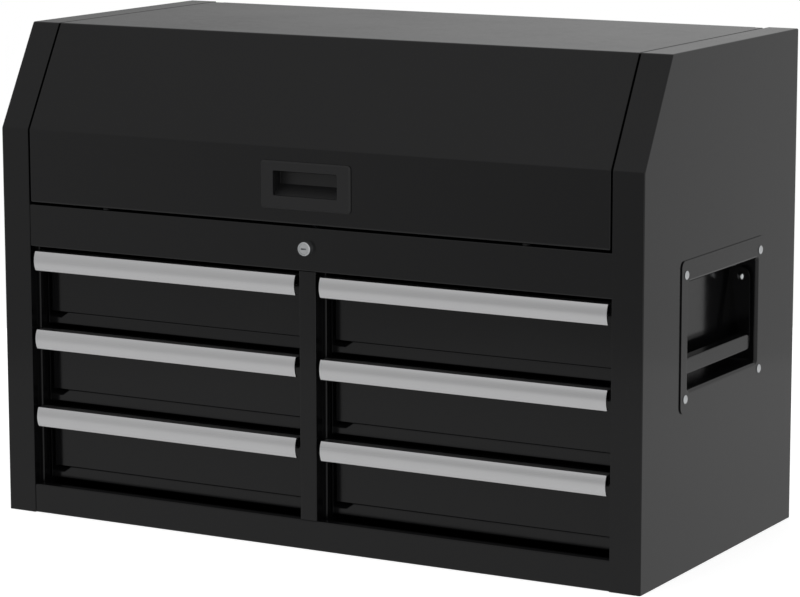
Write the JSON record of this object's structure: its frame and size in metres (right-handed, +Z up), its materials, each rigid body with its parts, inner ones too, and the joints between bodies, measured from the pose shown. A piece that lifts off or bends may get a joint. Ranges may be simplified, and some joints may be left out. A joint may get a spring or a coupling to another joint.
{
  "type": "machinist tool chest",
  "caption": "Steel top chest with banks of sliding drawers, a till under a slope-fronted lid held by gas struts, a key lock and a recessed swing handle in each side.",
  "frame": {"origin": "middle of the footprint, on the surface that the chest stands on", "axes": "+X to the right seen from the front, +Y from the front to the back, +Z up"},
  "size_m": [0.9226, 0.4578, 0.635],
  "materials": {
    "gloss_black_enamel": "smooth gloss black baked enamel over steel sheet",
    "inner_enamel": "black enamel on inner steelwork",
    "bail_enamel": "black enamel on the swing handle",
    "pull_aluminium": "clear anodised aluminium extrusion, satin",
    "zinc_plated_steel": "bright zinc-plated rolled steel",
    "chrome_plate": "bright chrome plate",
    "strut_rod_chrome": "ground and chromed rod",
    "strut_black": "satin black paint",
    "handle_plastic": "fine-grained black moulded plastic",
    "bumper_rubber": "black rubber pad"
  },
  "bodies": {
    "cabinet": {"back_panel": "gloss_black_enamel", "bail_pins": "chrome_plate", "bottom_panel": "gloss_black_enamel", "bottom_rail": "gloss_black_enamel", "cabinet_slides": "zinc_plated_steel", "centre_post": "gloss_black_enamel", "centre_wall": "inner_enamel", "handle_screws": "chrome_plate", "header_panel": "gloss_black_enamel", "hinge_cabinet_leaf": "zinc_plated_steel", "hinge_pin": "zinc_plated_steel", "left_handle_pan": "gloss_black_enamel", "left_side_panel": "gloss_black_enamel", "lid_bumpers": "bumper_rubber", "lock_housing": "chrome_plate", "lock_nut": "zinc_plated_steel", "right_handle_pan": "gloss_black_enamel", "right_side_panel": "gloss_black_enamel", "slide_posts": "inner_enamel", "strut_cabinet_brackets": "strut_black", "till_floor": "gloss_black_enamel"},
    "left_bottom_drawer": {"left_bottom_drawer": "gloss_black_enamel", "left_bottom_pull": "pull_aluminium", "left_bottom_drawer_slides": "zinc_plated_steel"},
    "left_bottom_middle_slides": {"left_bottom_middle_slides": "zinc_plated_steel"},
    "left_middle_drawer": {"left_middle_drawer": "gloss_black_enamel", "left_middle_pull": "pull_aluminium", "left_middle_drawer_slides": "zinc_plated_steel"},
    "left_middle_middle_slides": {"left_middle_middle_slides": "zinc_plated_steel"},
    "left_top_drawer": {"left_top_drawer": "gloss_black_enamel", "left_top_pull": "pull_aluminium", "left_top_drawer_slides": "zinc_plated_steel"},
    "left_top_middle_slides": {"left_top_middle_slides": "zinc_plated_steel"},
    "right_bottom_drawer": {"right_bottom_drawer": "gloss_black_enamel", "right_bottom_pull": "pull_aluminium", "right_bottom_drawer_slides": "zinc_plated_steel"},
    "right_bottom_middle_slides": {"right_bottom_middle_slides": "zinc_plated_steel"},
    "right_middle_drawer": {"right_middle_drawer": "gloss_black_enamel", "right_middle_pull": "pull_aluminium", "right_middle_drawer_slides": "zinc_plated_steel"},
    "right_middle_middle_slides": {"right_middle_middle_slides": "zinc_plated_steel"},
    "right_top_drawer": {"right_top_drawer": "gloss_black_enamel", "right_top_pull": "pull_aluminium", "right_top_drawer_slides": "zinc_plated_steel"},
    "right_top_middle_slides": {"right_top_middle_slides": "zinc_plated_steel"},
    "lid": {"lid": "gloss_black_enamel", "lid_handle": "handle_plastic", "hinge_lid_leaf": "zinc_plated_steel", "strut_lid_brackets": "strut_black"},
    "left_strut_rod": {"left_strut_rod": "strut_rod_chrome"},
    "left_strut_cylinder": {"left_strut_cylinder": "strut_black"},
    "left_bail": {"left_bail": "bail_enamel"},
    "right_strut_rod": {"right_strut_rod": "strut_rod_chrome"},
    "right_strut_cylinder": {"right_strut_cylinder": "strut_black"},
    "right_bail": {"right_bail": "bail_enamel"},
    "lock_plug": {"lock_plug": "chrome_plate", "lock_cam": "zinc_plated_steel"},
    "lock_bar": {"lock_bar": "zinc_plated_steel"}
  },
  "joints": [
    {"name": "left_bottom_drawer_slide", "type": "slide", "parent": "cabinet", "child": "left_bottom_drawer", "axis": [0, -1, 0], "range_m": [0, 0.36]},
    {"name": "left_bottom_middle_slide", "type": "slide", "parent": "cabinet", "child": "left_bottom_middle_slides", "axis": [0, -1, 0], "range_m": [0, 0.18]},
    {"name": "left_middle_drawer_slide", "type": "slide", "parent": "cabinet", "child": "left_middle_drawer", "axis": [0, -1, 0], "range_m": [0, 0.36]},
    {"name": "left_middle_middle_slide", "type": "slide", "parent": "cabinet", "child": "left_middle_middle_slides", "axis": [0, -1, 0], "range_m": [0, 0.18]},
    {"name": "left_top_drawer_slide", "type": "slide", "parent": "cabinet", "child": "left_top_drawer", "axis": [0, -1, 0], "range_m": [0, 0.36]},
    {"name": "left_top_middle_slide", "type": "slide", "parent": "cabinet", "child": "left_top_middle_slides", "axis": [0, -1, 0], "range_m": [0, 0.18]},
    {"name": "right_bottom_drawer_slide", "type": "slide", "parent": "cabinet", "child": "right_bottom_drawer", "axis": [0, -1, 0], "range_m": [0, 0.36]},
    {"name": "right_bottom_middle_slide", "type": "slide", "parent": "cabinet", "child": "right_bottom_middle_slides", "axis": [0, -1, 0], "range_m": [0, 0.18]},
    {"name": "right_middle_drawer_slide", "type": "slide", "parent": "cabinet", "child": "right_middle_drawer", "axis": [0, -1, 0], "range_m": [0, 0.36]},
    {"name": "right_middle_middle_slide", "type": "slide", "parent": "cabinet", "child": "right_middle_middle_slides", "axis": [0, -1, 0], "range_m": [0, 0.18]},
    {"name": "right_top_drawer_slide", "type": "slide", "parent": "cabinet", "child": "right_top_drawer", "axis": [0, -1, 0], "range_m": [0, 0.36]},
    {"name": "right_top_middle_slide", "type": "slide", "parent": "cabinet", "child": "right_top_middle_slides", "axis": [0, -1, 0], "range_m": [0, 0.18]},
    {"name": "lid_hinge", "type": "hinge", "parent": "cabinet", "child": "lid", "pos_m": [0, 0.21995, 0.63185], "axis": [-1, 0, 0], "range_deg": [0, 80]},
    {"name": "left_strut_foot", "type": "hinge", "parent": "cabinet", "child": "left_strut_rod", "pos_m": [-0.402, 0.15384, 0.42727], "axis": [-1, 0, 0], "range_deg": [0, 40]},
    {"name": "left_strut_head", "type": "hinge", "parent": "lid", "child": "left_strut_cylinder", "pos_m": [-0.402, 0.00509, 0.624], "axis": [-1, 0, 0], "range_deg": [-40, 0]},
    {"name": "right_strut_foot", "type": "hinge", "parent": "cabinet", "child": "right_strut_rod", "pos_m": [0.402, 0.15384, 0.42727], "axis": [-1, 0, 0], "range_deg": [0, 40]},
    {"name": "right_strut_head", "type": "hinge", "parent": "lid", "child": "right_strut_cylinder", "pos_m": [0.402, 0.00509, 0.624], "axis": [-1, 0, 0], "range_deg": [-40, 0]},
    {"name": "lock_turn", "type": "hinge", "parent": "cabinet", "child": "lock_plug", "pos_m": [0, -0.2255, 0.381], "axis": [0, 1, 0], "range_deg": [0, 90]},
    {"name": "lock_bar_lift", "type": "slide", "parent": "cabinet", "child": "lock_bar", "axis": [0, 0, 1], "range_m": [0, 0.0099]},
    {"name": "left_bail_pivot", "type": "hinge", "parent": "cabinet", "child": "left_bail", "pos_m": [-0.439, 0.002, 0.335], "axis": [0, 1, 0], "range_deg": [0, 90]},
    {"name": "right_bail_pivot", "type": "hinge", "parent": "cabinet", "child": "right_bail", "pos_m": [0.439, 0.002, 0.335], "axis": [0, -1, 0], "range_deg": [0, 90]}
  ],
  "couplings": [
    {"joint": "left_bottom_middle_slide", "follows": "left_bottom_drawer_slide", "ratio": 0.5},
    {"joint": "left_middle_middle_slide", "follows": "left_middle_drawer_slide", "ratio": 0.5},
    {"joint": "left_top_middle_slide", "follows": "left_top_drawer_slide", "ratio": 0.5},
    {"joint": "right_bottom_middle_slide", "follows": "right_bottom_drawer_slide", "ratio": 0.5},
    {"joint": "right_middle_middle_slide", "follows": "right_middle_drawer_slide", "ratio": 0.5},
    {"joint": "right_top_middle_slide", "follows": "right_top_drawer_slide", "ratio": 0.5},
    {"joint": "left_strut_foot", "follows": "lid_hinge", "ratio": 0.5},
    {"joint": "left_strut_head", "follows": "lid_hinge", "ratio": -0.5},
    {"joint": "right_strut_foot", "follows": "lid_hinge", "ratio": 0.5},
    {"joint": "right_strut_head", "follows": "lid_hinge", "ratio": -0.5},
    {"joint": "lock_turn", "follows": "lock_bar_lift", "rad_per_m": 158.68}
  ]
}
